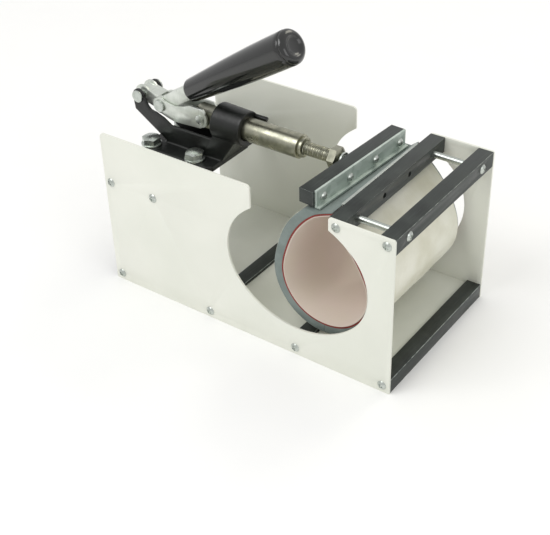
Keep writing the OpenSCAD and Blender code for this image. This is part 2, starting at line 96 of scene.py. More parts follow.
def colour_with(tree, shader, factor, first, second):
    """Gives the shader a base colour that runs from the first to the second colour."""
    tree.links.new(mix_colours(tree, factor, first, second), shader.inputs["Base Color"])


def noise_at(tree, coords, size, detail=2.0, stretch=(1, 1, 1)):
    """Noise whose features are about size metres across, longer along an axis where stretch is over 1."""
    scale = tuple(1 / (size * s) for s in stretch)
    placed = add_node(tree, "ShaderNodeMapping", {"Vector": coords, "Scale": scale})
    grain = add_node(tree, "ShaderNodeTexNoise",
                     {"Vector": placed.outputs[0], "Scale": 1.0, "Detail": detail})
    return grain.outputs["Fac"]


def in_range(tree, value, low, high, to_low=0.0, to_high=1.0):
    """Stretches what lies between low and high over a new range."""
    spread = add_node(tree, "ShaderNodeMapRange", {0: value, 1: low, 2: high, 3: to_low, 4: to_high})
    return spread.outputs[0]


def raise_surface(tree, shader, heights):
    """Bumps the shader by (height socket, depth in metres) pairs, one on top of the other."""
    under = None
    for height, depth in heights:
        inputs = {"Height": height, "Distance": depth, "Strength": 1.0}
        if under:
            inputs["Normal"] = under
        under = add_node(tree, "ShaderNodeBump", inputs).outputs[0]
    tree.links.new(under, shader.inputs["Normal"])


def new_object(name, mesh):
    made = bpy.data.objects.new(name, mesh)
    bpy.context.scene.collection.objects.link(made)
    return made


bench_finish, tree, shader, coords = new_finish("matt_bench_paint", Roughness=0.7)
grain = noise_at(tree, coords, 60 * MM)
colour_with(tree, shader, grain, "#FBFBFA", "#F8F8F7")
bench_mesh = bpy.data.meshes.new("bench")
bench_half = 6.0
bench_mesh.from_pydata([(x, y, 0) for x, y in ((-bench_half, -bench_half), (bench_half, -bench_half),
                                              (bench_half, bench_half), (-bench_half, bench_half))],
                       [], [(0, 1, 2, 3)])
bench = new_object("bench", bench_mesh)
bench_mesh.materials.append(bench_finish)

world = bpy.data.worlds.new("studio")
bpy.context.scene.world = world
world.use_nodes = True
world_strength = 0.76
world.node_tree.nodes["Background"].inputs[0].default_value = linear("#FFFFFF")
world.node_tree.nodes["Background"].inputs[1].default_value = world_strength
lamps_aim_at = Vector((0, 0, 0.08))


def soft_light(name, place, size, power, colour="#FFFFFF"):
    """A square area light that faces the object."""
    lamp = bpy.data.lights.new(name, "AREA")
    lamp.size = size
    lamp.energy = power
    lamp.color = linear(colour)[:3]
    made = new_object(name, lamp)
    aim = (lamps_aim_at - Vector(place)).to_track_quat("-Z", "Y")
    made.matrix_world = Matrix.Translation(place) @ aim.to_matrix().to_4x4()


soft_light("key_light", (-0.6, -1.2, 1.9), 1.2, 16)
soft_light("fill_light", (1.7, -0.5, 0.9), 1.0, 4)
soft_light("back_light", (0.3, 1.6, 1.5), 0.9, 7, "#FFFBEA")

camera_data = bpy.data.cameras.new("camera")
camera_data.sensor_width = 36
camera_data.lens = 73.3
camera_turn = radians(36.77)
camera_lift = radians(35.45)
camera_roll = radians(-1.83)
camera = new_object("camera", camera_data)
back = Vector((sin(camera_turn) * cos(camera_lift), -cos(camera_turn) * cos(camera_lift), sin(camera_lift)))
level_right = (-back).cross(Vector((0, 0, 1))).normalized()
level_up = level_right.cross(-back)
right = cos(camera_roll) * level_right + sin(camera_roll) * level_up
up = cos(camera_roll) * level_up - sin(camera_roll) * level_right
camera_past_panel = 0.6401
camera_in_front = 0.6876
camera_height = 0.6228
stands_at = (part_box("front_panel")[0].x + camera_past_panel, -camera_in_front, camera_height)
camera.matrix_world = Matrix.Translation(stands_at) @ Matrix((right, up, back)).transposed().to_4x4()
bpy.context.scene.camera = camera
bpy.context.scene.view_settings.view_transform = "Standard"

# ---------------------------------------------------------------- side panels and floor covers
# Two millimetre sheet steel, laser cut, its cut edges barely broken, then powder coated warm white.
# The coat is satin with a fine orange peel and is a little darker and greyer towards the bottom, in patches.


weld_gap = 1e-6
flat_within = radians(0.4)


def merged_copy(name, node):
    """A copy of a CAD node's mesh with its loose triangles joined and its flat faces made whole."""
    bm = bmesh.new()
    bm.from_mesh(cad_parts[node].data)
    bmesh.ops.remove_doubles(bm, verts=bm.verts, dist=weld_gap)
    bmesh.ops.dissolve_limit(bm, angle_limit=flat_within, verts=bm.verts, edges=bm.edges)
    mesh = bpy.data.meshes.new(name)
    bm.to_mesh(mesh)
    bm.free()
    return new_object(name, mesh)


def settle(piece, sharp=30):
    """Turns a piece and its modifiers into one plain mesh, smooth up to the sharp angle."""
    view = bpy.context.evaluated_depsgraph_get()
    mesh = bpy.data.meshes.new_from_object(piece.evaluated_get(view))
    piece.modifiers.clear()
    piece.data = mesh
    mesh.name = piece.name
    mesh.shade_smooth()
    mesh.set_sharp_from_angle(angle=radians(sharp))
    return piece


def machined(name, node, finish, body, edge=0.3 * MM, edge_finish=None):
    """A CAD node with its edges broken, in its own finish, and a brighter one on the edges if given."""
    piece = merged_copy(name, node)
    for look in (finish, edge_finish):
        if look:
            piece.data.materials.append(look)
    bevel = piece.modifiers.new("broken_edge", "BEVEL")
    bevel.width = edge
    bevel.segments = 2
    bevel.limit_method = "ANGLE"
    bevel.angle_limit = radians(30)
    bevel.material = 1 if edge_finish else -1
    settle(piece)
    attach(piece, body)
    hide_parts(node)


powder_coat, tree, shader, coords = new_finish("powder_coat_white", Roughness=0.42, IOR=1.5)
broad = noise_at(tree, coords, 90 * MM, 3.0)
tone = mix_colours(tree, in_range(tree, broad, 0.35, 0.65), "#E6E7DD", "#DFE1D6")
# The colour turns darker and greyer in noise patches towards the bottom, over the lowest 18 mm.
height_of = add_node(tree, "ShaderNodeSeparateXYZ", {0: coords}).outputs["Z"]
low_down = in_range(tree, height_of, 18 * MM, 0.0, 0.0, 0.35)
patchy_noise = noise_at(tree, coords, 14 * MM, 4.0)
darker_low_down = add_node(tree, "ShaderNodeMath", {0: low_down, 1: patchy_noise}, operation="MULTIPLY").outputs[0]
colour_with(tree, shader, darker_low_down, tone, "#B9B9A8")
tree.links.new(in_range(tree, patchy_noise, 0.3, 0.7, 0.36, 0.48), shader.inputs["Roughness"])
peel = noise_at(tree, coords, 1.6 * MM, 1.0)
raise_surface(tree, shader, [(peel, 0.05 * MM)])

machined("front_side_panel", "front_panel", powder_coat, "frame")
machined("rear_side_panel", "rear_panel", powder_coat, "frame")
for i in (1, 2, 3):
    machined(f"floor_tray_{i}", f"floor_cover_{i}", powder_coat, "frame", edge=0.5 * MM)

# ---------------------------------------------------------------- square bars
# Cold drawn square steel bar, cut to length, tapped, then blackened: a satin slate black with fine
# marks along its length, and a hairline of brighter steel at the edges, partly rubbed through and partly a
# painted highlight.
black_oxide, tree, shader, coords = new_finish("black_oxide_steel", Metallic=0.35, Roughness=0.42)
patch = noise_at(tree, coords, 22 * MM, 4.0)
drawn = noise_at(tree, coords, 0.5 * MM, 2.0, (1, 60, 1))
mottled = mix_colours(tree, in_range(tree, patch, 0.35, 0.7), "#2B2F2D", "#3E4340")
colour_with(tree, shader, in_range(tree, drawn, 0.55, 0.8, 0.0, 0.5), mottled, "#5A625F")
tree.links.new(in_range(tree, patch, 0.3, 0.7, 0.34, 0.52), shader.inputs["Roughness"])
raise_surface(tree, shader, [(drawn, 0.012 * MM), (noise_at(tree, coords, 0.9 * MM), 0.01 * MM)])

# Brighter steel on the broken edges: partly rubbed through, partly a painted highlight where the edges catch
# the light.
rubbed_and_highlit_edge, tree, shader, coords = new_finish("rubbed_steel_edge", Metallic=0.8, Roughness=0.4)
rub_and_glint = noise_at(tree, coords, 6 * MM, 3.0)
colour_with(tree, shader, in_range(tree, rub_and_glint, 0.35, 0.6), "#59605D", "#A4ABA6")

bar_nodes = [f"base_bar_{i}" for i in (1, 2, 3, 4)]
bar_nodes += ["deck_bar_1", "deck_bar_2", "column_bar_inner", "column_bar_outer"]
for node in bar_nodes:
    machined(f"square_{node}", node, black_oxide, "frame", 0.35 * MM, rubbed_and_highlit_edge)

# ---------------------------------------------------------------- small screws
# Pan head machine screws with a cross recess, bright zinc plated, driven into the bar ends.
# A thin pale blue to grey cast of the passivated zinc shows on the domes.
zinc_plate, tree, shader, coords = new_finish("bright_zinc_plate", Metallic=1.0, Roughness=0.28)
cloudy = noise_at(tree, coords, 5 * MM, 3.0)
colour_with(tree, shader, in_range(tree, cloudy, 0.3, 0.7), "#C9CEC9", "#B4BAB3")
tree.links.new(in_range(tree, cloudy, 0.3, 0.7, 0.22, 0.38), shader.inputs["Roughness"])
raise_surface(tree, shader, [(noise_at(tree, coords, 0.7 * MM), 0.008 * MM)])


def head_tree(name, cross):
    """Geometry Nodes: one screw, bolt or rivet head on every point, facing one way and turned at random."""
    made = bpy.data.node_groups.new(name, "GeometryNodeTree")
    for label, kind in (("Points", "Geometry"), ("Sides", "Int"), ("Radius", "Float"), ("Height", "Float"),
                        ("Dome radius", "Float"), ("Recess width", "Float"), ("Facing", "Vector"),
                        ("Seed", "Int"), ("Finish", "Material")):
        made.interface.new_socket(label, in_out="INPUT", socket_type="NodeSocket" + kind)
    made.interface.new_socket("Heads", in_out="OUTPUT", socket_type="NodeSocketGeometry")
    given = made.nodes.new("NodeGroupInput").outputs
    half = add_node(made, "ShaderNodeMath", {0: given["Height"], 1: 0.5}, operation="MULTIPLY").outputs[0]
    lift = add_node(made, "ShaderNodeCombineXYZ", {2: half}).outputs[0]
    blank = add_node(made, "GeometryNodeMeshCylinder",
                     {"Vertices": given["Sides"], "Radius": given["Radius"], "Depth": given["Height"]})
    stood = add_node(made, "GeometryNodeTransform", {"Geometry": blank.outputs["Mesh"], "Translation": lift})
    drop = add_node(made, "ShaderNodeMath", {0: given["Height"], 1: given["Dome radius"]},
                    operation="SUBTRACT")
    centre = add_node(made, "ShaderNodeCombineXYZ", {2: drop.outputs[0]}).outputs[0]
    ball = add_node(made, "GeometryNodeMeshUVSphere",
                    {"Segments": 32, "Rings": 48, "Radius": given["Dome radius"]})
    dome = add_node(made, "GeometryNodeTransform", {"Geometry": ball.outputs["Mesh"], "Translation": centre})
    turned = add_node(made, "GeometryNodeMeshBoolean", operation="INTERSECT", solver="EXACT")
    for part in (stood, dome):
        made.links.new(part.outputs[0], turned.inputs["Mesh 2"])
    shape = turned.outputs["Mesh"]
    if cross:
        spread = add_node(made, "ShaderNodeMath", {0: given["Radius"], 1: 1.05}, operation="MULTIPLY")
        length = spread.outputs[0]
        top = add_node(made, "ShaderNodeCombineXYZ", {2: given["Height"]}).outputs[0]
        slots = []
        for sizes in ({0: length, 1: given["Recess width"]}, {0: given["Recess width"], 1: length}):
            size = add_node(made, "ShaderNodeCombineXYZ", {**sizes, 2: given["Height"]}).outputs[0]
            box = add_node(made, "GeometryNodeMeshCube", {"Size": size})
            slots.append(add_node(made, "GeometryNodeTransform",
                                  {"Geometry": box.outputs["Mesh"], "Translation": top}))
        cut = add_node(made, "GeometryNodeMeshBoolean", {"Mesh 1": shape}, operation="DIFFERENCE",
                       solver="EXACT")
        for part in slots:
            made.links.new(part.outputs[0], cut.inputs["Mesh 2"])
        shape = cut.outputs["Mesh"]
    faced = add_node(made, "FunctionNodeAlignRotationToVector", {"Vector": given["Facing"]}, axis="Z")
    turn = add_node(made, "FunctionNodeRandomValue", {"Seed": given["Seed"]}, data_type="FLOAT")
    turn.inputs[3].default_value = 2 * pi
    about = add_node(made, "FunctionNodeAxisAngleToRotation", {"Axis": (0, 0, 1), "Angle": turn.outputs[1]})
    stands = add_node(made, "FunctionNodeRotateRotation",
                      {"Rotation": faced.outputs[0], "Rotate By": about.outputs[0]}, rotation_space="LOCAL")
    placed = add_node(made, "GeometryNodeInstanceOnPoints",
                      {"Points": given["Points"], "Instance": shape, "Rotation": stands.outputs[0]})
    real = add_node(made, "GeometryNodeRealizeInstances", {"Geometry": placed.outputs[0]})
    painted = add_node(made, "GeometryNodeSetMaterial",
                       {"Geometry": real.outputs[0], "Material": given["Finish"]})
    add_node(made, "NodeGroupOutput", {"Heads": painted.outputs[0]})
    return made


def grown(name, tree, points, **values):
    """A plain mesh that a Geometry Nodes tree makes from points, with the tree's inputs set by identifier."""
    mesh = bpy.data.meshes.new(name)
    mesh.from_pydata([tuple(p) for p in points], [], [])
    piece = new_object(name, mesh)
    modifier = piece.modifiers.new("tree", "NODES")
    modifier.node_group = tree
    for item in tree.interface.items_tree:
        label = item.name.replace(" ", "_").lower()
        if item.in_out == "INPUT" and label in values:
            modifier[item.identifier] = values[label]
    return settle(piece, 35)


cross_heads = head_tree("cross_recess_heads", True)
plain_heads = head_tree("plain_heads", False)
pan_screw = {"sides": 28, "radius": 4.2 * MM, "height": 2.2 * MM, "dome_radius": 5.3 * MM,
             "recess_width": 1.2 * MM, "finish": zinc_plate}
panel_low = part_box("front_panel")[0]
rear_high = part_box("rear_panel")[1]
bar_ends = []
for node in bar_nodes:
    low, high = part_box(node)
    bar_ends.append(((low.x + high.x) / 2, (low.z + high.z) / 2))
for name, node, face, facing, seed in (("front_screws", "panel_screws_front", panel_low.y, (0, -1, 0), 3),
                                       ("rear_screws", "panel_screws_rear", rear_high.y, (0, 1, 0), 4)):
    seats = [(x, face, z) for x, z in bar_ends]
    screws = grown(name, cross_heads, seats, facing=facing, seed=seed, **pan_screw)
    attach(screws, "frame")
    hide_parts(node)

# ---------------------------------------------------------------- column tie rods and blanket strip
# Two long screws run through the outer column bar to the inner one, with button heads outside.
# A thin zinc plated strip, with screws of its own, clamps the blanket's end to the inner bar.
bright_steel, tree, shader, coords = new_finish("bright_drawn_steel", Metallic=1.0, Roughness=0.3)
turned_marks = noise_at(tree, coords, 0.35 * MM, 2.0, (1, 30, 30))
stain = noise_at(tree, coords, 7 * MM, 4.0)
colour_with(tree, shader, in_range(tree, stain, 0.35, 0.7), "#ABAA98", "#8A8B7D")
tree.links.new(in_range(tree, stain, 0.3, 0.7, 0.24, 0.4), shader.inputs["Roughness"])
raise_surface(tree, shader, [(turned_marks, 0.01 * MM)])

for side, seed in (("front", 21), ("rear", 22)):
    low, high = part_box(f"tie_rod_{side}")
    seat = Vector((high.x - pan_screw["height"], (low.y + high.y) / 2, (low.z + high.z) / 2))
    shank = merged_copy(f"tie_rod_{side}_shank", f"tie_rod_{side}")
    bm = bmesh.new()
    bm.from_mesh(shank.data)
    cut = bmesh.ops.bisect_plane(bm, geom=bm.verts[:] + bm.edges[:] + bm.faces[:], plane_co=seat,
                                 plane_no=(1, 0, 0), clear_outer=True)
    bmesh.ops.contextual_create(bm, geom=[e for e in cut["geom_cut"] if isinstance(e, bmesh.types.BMEdge)])
    bm.to_mesh(shank.data)
    bm.free()
    shank.data.materials.append(zinc_plate)
    settle(shank)
    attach(shank, "frame")
    heads = grown(f"tie_rod_{side}_head", cross_heads, [seat], facing=(1, 0, 0), seed=seed, **pan_screw)
    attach(heads, "frame")
    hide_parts(f"tie_rod_{side}")
machined("blanket_clamp_strip", "blanket_strip", zinc_plate, "frame", 0.2 * MM)
machined("blanket_strip_screws", "strip_screws", zinc_plate, "frame", 0.2 * MM)

# ---------------------------------------------------------------- clamp body
# One iron casting: a base plate, two cheeks with the handle's ears and a bored nose, in black paint
# over a sand cast skin, so its edges are soft and its surface is faintly grainy.
cast_paint, tree, shader, coords = new_finish("black_paint_on_casting", Roughness=0.38, IOR=1.5)
skin = noise_at(tree, coords, 1.8 * MM, 4.0)
dust = noise_at(tree, coords, 18 * MM, 3.0)
colour_with(tree, shader, in_range(tree, dust, 0.4, 0.75), "#0A0C0A", "#181C19")
tree.links.new(in_range(tree, skin, 0.3, 0.7, 0.3, 0.46), shader.inputs["Roughness"])
raise_surface(tree, shader, [(skin, 0.09 * MM), (noise_at(tree, coords, 0.6 * MM), 0.03 * MM)])

casting = merged_copy("clamp_casting", "clamp_body")
casting.data.materials.append(cast_paint)
remesh = casting.modifiers.new("cast_skin", "REMESH")
remesh.mode = "VOXEL"
remesh.voxel_size = 0.8 * MM
soften = casting.modifiers.new("soft_edges", "SMOOTH")
soften.factor = 0.5
soften.iterations = 3
settle(casting, 60)
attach(casting, "frame")
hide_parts("clamp_body")
machined("handle_stop_pin", "stop_pin", cast_paint, "frame", 0.3 * MM)

# ---------------------------------------------------------------- base bolts
# Four zinc plated hexagon bolts, each with its top corners turned off and a flat washer under it.
washer_low, washer_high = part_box("clamp_washers")
washer_r = 9.6 * MM
bolt_y = washer_high.y - washer_r
bolt_places = [(x, y, washer_high.z) for x in (washer_low.x + washer_r, washer_high.x - washer_r)
               for y in (-bolt_y, bolt_y)]
bolt_heads = grown("base_bolt_heads", plain_heads, bolt_places, sides=6, radius=9 * MM, height=6.8 * MM,
                   dome_radius=24 * MM, facing=(0, 0, 1), seed=8, finish=zinc_plate)
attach(bolt_heads, "frame")
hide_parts("clamp_bolts")
machined("base_bolt_washers", "clamp_washers", zinc_plate, "frame", 0.25 * MM)

# ---------------------------------------------------------------- lever, links and rivets
# Pressed steel lever and two link plates, zinc plated, with the faint upright marks of the press
# tool, held by flat headed rivets.
pressed_zinc, tree, shader, coords = new_finish("zinc_plate_on_pressing", Metallic=0.9, Roughness=0.38)
blotch = noise_at(tree, coords, 9 * MM, 4.0)
press_marks = noise_at(tree, coords, 1.1 * MM, 2.0, (1, 10, 14))
grey = mix_colours(tree, in_range(tree, blotch, 0.35, 0.7), "#E0E4DD", "#CCD1C9")
colour_with(tree, shader, in_range(tree, press_marks, 0.6, 0.8, 0.0, 0.5), grey, "#989F98")
tree.links.new(in_range(tree, blotch, 0.3, 0.7, 0.3, 0.46), shader.inputs["Roughness"])
raise_surface(tree, shader, [(press_marks, 0.02 * MM)])

machined("lever_channel", "handle_lever", pressed_zinc, "handle", 0.5 * MM)
machined("link_plate_front", "link_front", pressed_zinc, "link", 0.5 * MM)
machined("link_plate_rear", "link_rear", pressed_zinc, "link", 0.5 * MM)
machined("handle_pivot_rivet", "handle_rivet", zinc_plate, "frame", 0.5 * MM)
machined("link_pivot_rivet", "link_rivet", zinc_plate, "handle", 0.5 * MM)
machined("link_end_rivet_heads", "link_end_rivets", zinc_plate, "link", 0.5 * MM)

# ---------------------------------------------------------------- grip
# A moulded gloss black plastic grip that swells quickly and then runs nearly straight to a fine
# groove, a blunt rounded cap and a shallow dish.
gloss_black, tree, shader, coords = new_finish("gloss_black_plastic", Roughness=0.12, IOR=1.5,
                                               Coat_Weight=0.6, Coat_Roughness=0.05)
haze = noise_at(tree, coords, 12 * MM, 3.0)
colour_with(tree, shader, haze, "#0B0C0B", "#151715")
tree.links.new(in_range(tree, haze, 0.3, 0.7, 0.1, 0.22), shader.inputs["Roughness"])
raise_surface(tree, shader, [(noise_at(tree, coords, 7 * MM), 0.05 * MM)])

pivot_past_panel = 8 * MM
pivot_height = 152.5 * MM
grip_pivot = Vector((panel_low.x + pivot_past_panel, 0, pivot_height))
grip_slope = radians(32)
grip_start = 37 * MM
grip_length = 134.5 * MM
grip_small = 10.9 * MM
grip_large = 15.6 * MM
shoulder = 3 * MM
profile = [(0.0, 0.0), (0.0, grip_small - shoulder)]
for turn in (20, 40, 60, 80):
    a = radians(turn)
    profile.append((shoulder * (1 - cos(a)), grip_small - shoulder * (1 - sin(a))))
swell_end = grip_length - 6.6 * MM
swell_large = grip_large - 0.05 * MM
swell_steps = 32
for i in range(swell_steps + 1):
    share = i / swell_steps
    profile.append((shoulder + share * (swell_end - shoulder),
                    grip_small + (swell_large - grip_small) * sin(pi / 2 * share)))
groove_and_bead = ((6.2, 0.3), (5.8, 0.9), (5.3, 1.0), (4.8, 0.7), (4.2, 0.3))
rounded_cap = ((3.4, 0.6), (2.6, 1.1), (1.8, 1.8), (1.1, 2.6), (0.6, 3.5), (0.25, 4.6), (0.1, 5.6))
dish = ((0.2, 6.6), (0.7, 7.3), (1.4, 8.0), (1.9, 9.4), (2.2, 12.0), (2.3, 15.6))
for before_end, inward in groove_and_bead + rounded_cap + dish:
    profile.append((grip_length - before_end * MM, grip_large - inward * MM))


def turned_on_lathe(name, outline, origin, along, finish, steps, sharp):
    """Spins an outline of (distance along, radius) about an axis, as a closed turned piece."""
    mesh = bpy.data.meshes.new(name)
    bm = bmesh.new()
    line = [bm.verts.new((r, 0, s)) for s, r in outline]
    edges = [bm.edges.new(pair) for pair in zip(line, line[1:])]
    bmesh.ops.spin(bm, geom=line + edges, cent=(0, 0, 0), axis=(0, 0, 1), angle=2 * pi, steps=steps)
    bmesh.ops.remove_doubles(bm, verts=bm.verts, dist=weld_gap)
    bmesh.ops.recalc_face_normals(bm, faces=bm.faces)
    bm.transform(Matrix.Translation(origin) @ Vector(along).to_track_quat("Z", "Y").to_matrix().to_4x4())
    bm.to_mesh(mesh)
    bm.free()
    mesh.materials.append(finish)
    return settle(new_object(name, mesh), sharp)


grip_along = Vector((cos(grip_slope), 0, sin(grip_slope)))
grip = turned_on_lathe("handle_grip_moulding", profile, grip_pivot + grip_start * grip_along, grip_along,
                       gloss_black, 72, 60)
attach(grip, "handle")
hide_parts("handle_grip")

# ---------------------------------------------------------------- plunger and spindle
# The plunger is a ground steel sleeve that slides in the nose. A lock ring stands at its mouth and
# a rolled twelve millimetre thread runs from it to the hexagon head that carries the press bar.
machined("plunger", "plunger_sleeve", bright_steel, "ram", 0.6 * MM)
machined("plunger_pivot_pin", "plunger_pin", zinc_plate, "ram", 0.2 * MM)
machined("spindle_lock_ring", "spindle_collar", bright_steel, "ram", 0.7 * MM)


def thread_tree():
    """Geometry Nodes: a round rolled thread wound about a core, along X from each point."""
    made = bpy.data.node_groups.new("rolled_thread", "GeometryNodeTree")
    for label, kind in (("Points", "Geometry"), ("Radius", "Float"), ("Pitch", "Float"), ("Length", "Float"),
                        ("Ridge", "Float"), ("Finish", "Material")):
        made.interface.new_socket(label, in_out="INPUT", socket_type="NodeSocket" + kind)
    made.interface.new_socket("Thread", in_out="OUTPUT", socket_type="NodeSocketGeometry")
    given = made.nodes.new("NodeGroupInput").outputs
    turns = add_node(made, "ShaderNodeMath", {0: given["Length"], 1: given["Pitch"]},
                     operation="DIVIDE").outputs[0]
    reach = add_node(made, "ShaderNodeMath", {0: given["Radius"], 1: given["Ridge"]},
                     operation="SUBTRACT").outputs[0]
    helix = add_node(made, "GeometryNodeCurveSpiral",
                     {"Resolution": 32, "Rotations": turns, "Start Radius": reach, "End Radius": reach,
                      "Height": given["Length"]})
    ridge = add_node(made, "GeometryNodeCurvePrimitiveCircle", {"Resolution": 6, "Radius": given["Ridge"]},
                     mode="RADIUS")
    wound = add_node(made, "GeometryNodeCurveToMesh",
                     {"Curve": helix.outputs[0], "Profile Curve": ridge.outputs[0], "Fill Caps": True})
    core = add_node(made, "GeometryNodeMeshCylinder",
                    {"Vertices": 40, "Radius": reach, "Depth": given["Length"]})
    half = add_node(made, "ShaderNodeMath", {0: given["Length"], 1: 0.5}, operation="MULTIPLY").outputs[0]
    lift = add_node(made, "ShaderNodeCombineXYZ", {2: half}).outputs[0]
    stood = add_node(made, "GeometryNodeTransform", {"Geometry": core.outputs["Mesh"], "Translation": lift})
    both = add_node(made, "GeometryNodeJoinGeometry")
    for part in (wound, stood):
        made.links.new(part.outputs[0], both.inputs[0])
    laid = add_node(made, "GeometryNodeTransform", {"Geometry": both.outputs[0], "Rotation": (0, pi / 2, 0)})
    placed = add_node(made, "GeometryNodeInstanceOnPoints",
                      {"Points": given["Points"], "Instance": laid.outputs[0]})
    real = add_node(made, "GeometryNodeRealizeInstances", {"Geometry": placed.outputs[0]})
    painted = add_node(made, "GeometryNodeSetMaterial",
                       {"Geometry": real.outputs[0], "Material": given["Finish"]})
    add_node(made, "NodeGroupOutput", {"Thread": painted.outputs[0]})
    return made


spindle_low, spindle_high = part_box("spindle")
axis_z = (spindle_low.z + spindle_high.z) / 2
head_t = 9.5 * MM
thread = grown("spindle_thread", thread_tree(), [(spindle_low.x, 0, axis_z)], radius=6 * MM, pitch=1.75 * MM,
               length=spindle_high.x - spindle_low.x - head_t, ridge=0.62 * MM, finish=bright_steel)
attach(thread, "spindle")
spindle_head = grown("spindle_head", plain_heads, [(spindle_high.x - head_t, 0, axis_z)], sides=6,
                     radius=10.4 * MM, height=head_t, dome_radius=19 * MM, facing=(1, 0, 0), seed=2,
                     finish=bright_steel)
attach(spindle_head, "spindle")
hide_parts("spindle")

# ---------------------------------------------------------------- press bar
# A blackened square bar on a short stud, with a galvanised angle screwed to its right face. The
# angle's foot turns out over the loose end of the heater.
galvanised, tree, shader, coords = new_finish("galvanised_sheet", Metallic=0.6, Roughness=0.5)
spangle = add_node(tree, "ShaderNodeTexVoronoi",
                   {"Vector": coords, "Scale": 1 / (7 * MM), "Randomness": 1.0}, feature="F1")
crystal = add_node(tree, "ShaderNodeSeparateColor", {0: spangle.outputs["Color"]}).outputs[0]
colour_with(tree, shader, in_range(tree, crystal, 0.0, 1.0, 0.0, 0.8), "#AEBBB2", "#C9D3CC")
tree.links.new(in_range(tree, crystal, 0.0, 1.0, 0.42, 0.56), shader.inputs["Roughness"])
raise_surface(tree, shader, [(noise_at(tree, coords, 2.2 * MM, 3.0), 0.02 * MM)])

# The press bar's and the angle's edges get the same brighter edge finish, partly a painted highlight.
machined("press_bar_blank", "press_bar", black_oxide, "ram", 0.35 * MM, rubbed_and_highlit_edge)
machined("mat_clamp_angle", "clamp_angle", galvanised, "ram", 0.5 * MM, rubbed_and_highlit_edge)
machined("press_bar_stud", "bar_stud", zinc_plate, "ram", 0.3 * MM)
machined("press_bar_washer", "stud_washer", zinc_plate, "ram", 0.3 * MM)
skew = radians(-3.4)
bar_past_panel = 205 * MM
screws_height = 150.3 * MM
angle_face = 16 * MM
screw_pitch = 36 * MM
bar_pivot = Vector((panel_low.x + bar_past_panel, 0, screws_height))
bar_faces = Vector((cos(skew), sin(skew), 0))
along_bar = Vector((-sin(skew), cos(skew), 0))
places = [bar_pivot + angle_face * bar_faces + i * screw_pitch * along_bar for i in (-1.5, -0.5, 0.5, 1.5)]
angle_heads = grown("angle_screw_heads", cross_heads, places, facing=tuple(bar_faces), seed=11,
                    **{**pan_screw, "radius": 4 * MM, "height": 2.6 * MM, "dome_radius": 5.2 * MM})
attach(angle_heads, "ram")
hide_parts("angle_screws")

# ---------------------------------------------------------------- heater loop
# A flexible heater bent round the mug: a smooth beige liner, etched foil, a red silicone rubber
# blanket, a grey silicone sponge and an outer cover of cream coated glass cloth. It hangs between
# the strip on the inner column bar and the angle on the press bar. Each side is a turn in degrees
# and a radius, and each layer ends at one angle on the fixed side and another on the moving side.
loop_r = 40.8 * MM
loop_x = panel_low.x + 227.4 * MM
loop_z = 75 * MM
heater_length = 136 * MM
liner_out = 0.5 * MM
foil_out = 0.9 * MM
blanket_out = 1.95 * MM
sponge_out = 10 * MM
cover_out = 10.6 * MM
sides = {"fixed": (20, 90 * MM), "moving": (170, 85 * MM)}
end_angles = {"liner": (49, 114), "blanket": (51.2, 114), "sponge": (48, 114.3), "cover": (48, 133.5),
              "foil": (44, 118)}
foot_z = 142.2 * MM
thinnest_edge = 1.2 * MM
step_along = 1.6 * MM
step_across = 3 * MM
ripple_size = 26 * MM
lean_from_z = 92 * MM
lean_rise = 45 * MM
held_past_middle = 7 * MM
held_over = 12 * MM


def loop_curve(side, end_angle):
    """Points and outward directions up one side of the loop, on the liner's inner face."""
    turn, side_r = sides[side]
    first, last = (-90, turn) if side == "fixed" else (270, turn)
    shift = side_r - loop_r
    curve = []
    side_x = loop_x - shift * cos(radians(turn))
    side_z = loop_z - shift * sin(radians(turn))
    for x, z, r, a0, a1 in ((loop_x, loop_z, loop_r, first, last), (side_x, side_z, side_r, last, end_angle)):
        steps = ceil(abs(radians(a1 - a0)) * r / step_along)
        for i in range(steps + 1):
            if curve and i == 0:
                continue
            a = radians(a0 + (a1 - a0) * i / steps)
            curve.append((Vector((x + r * cos(a), 0, z + r * sin(a))), Vector((cos(a), 0, sin(a)))))
    return curve


def lean(point):
    """The shift of the loose end, which the press bar, standing out of square, pulls askew."""
    share = min(1.0, max(0.0, (point.z - lean_from_z) / lean_rise))
    held = min(1.0, max(0.0, (loop_x + held_past_middle - point.x) / held_over))
    return Vector((point.y * tan(-skew) * share * share * (3 - 2 * share) * held, 0, 0))


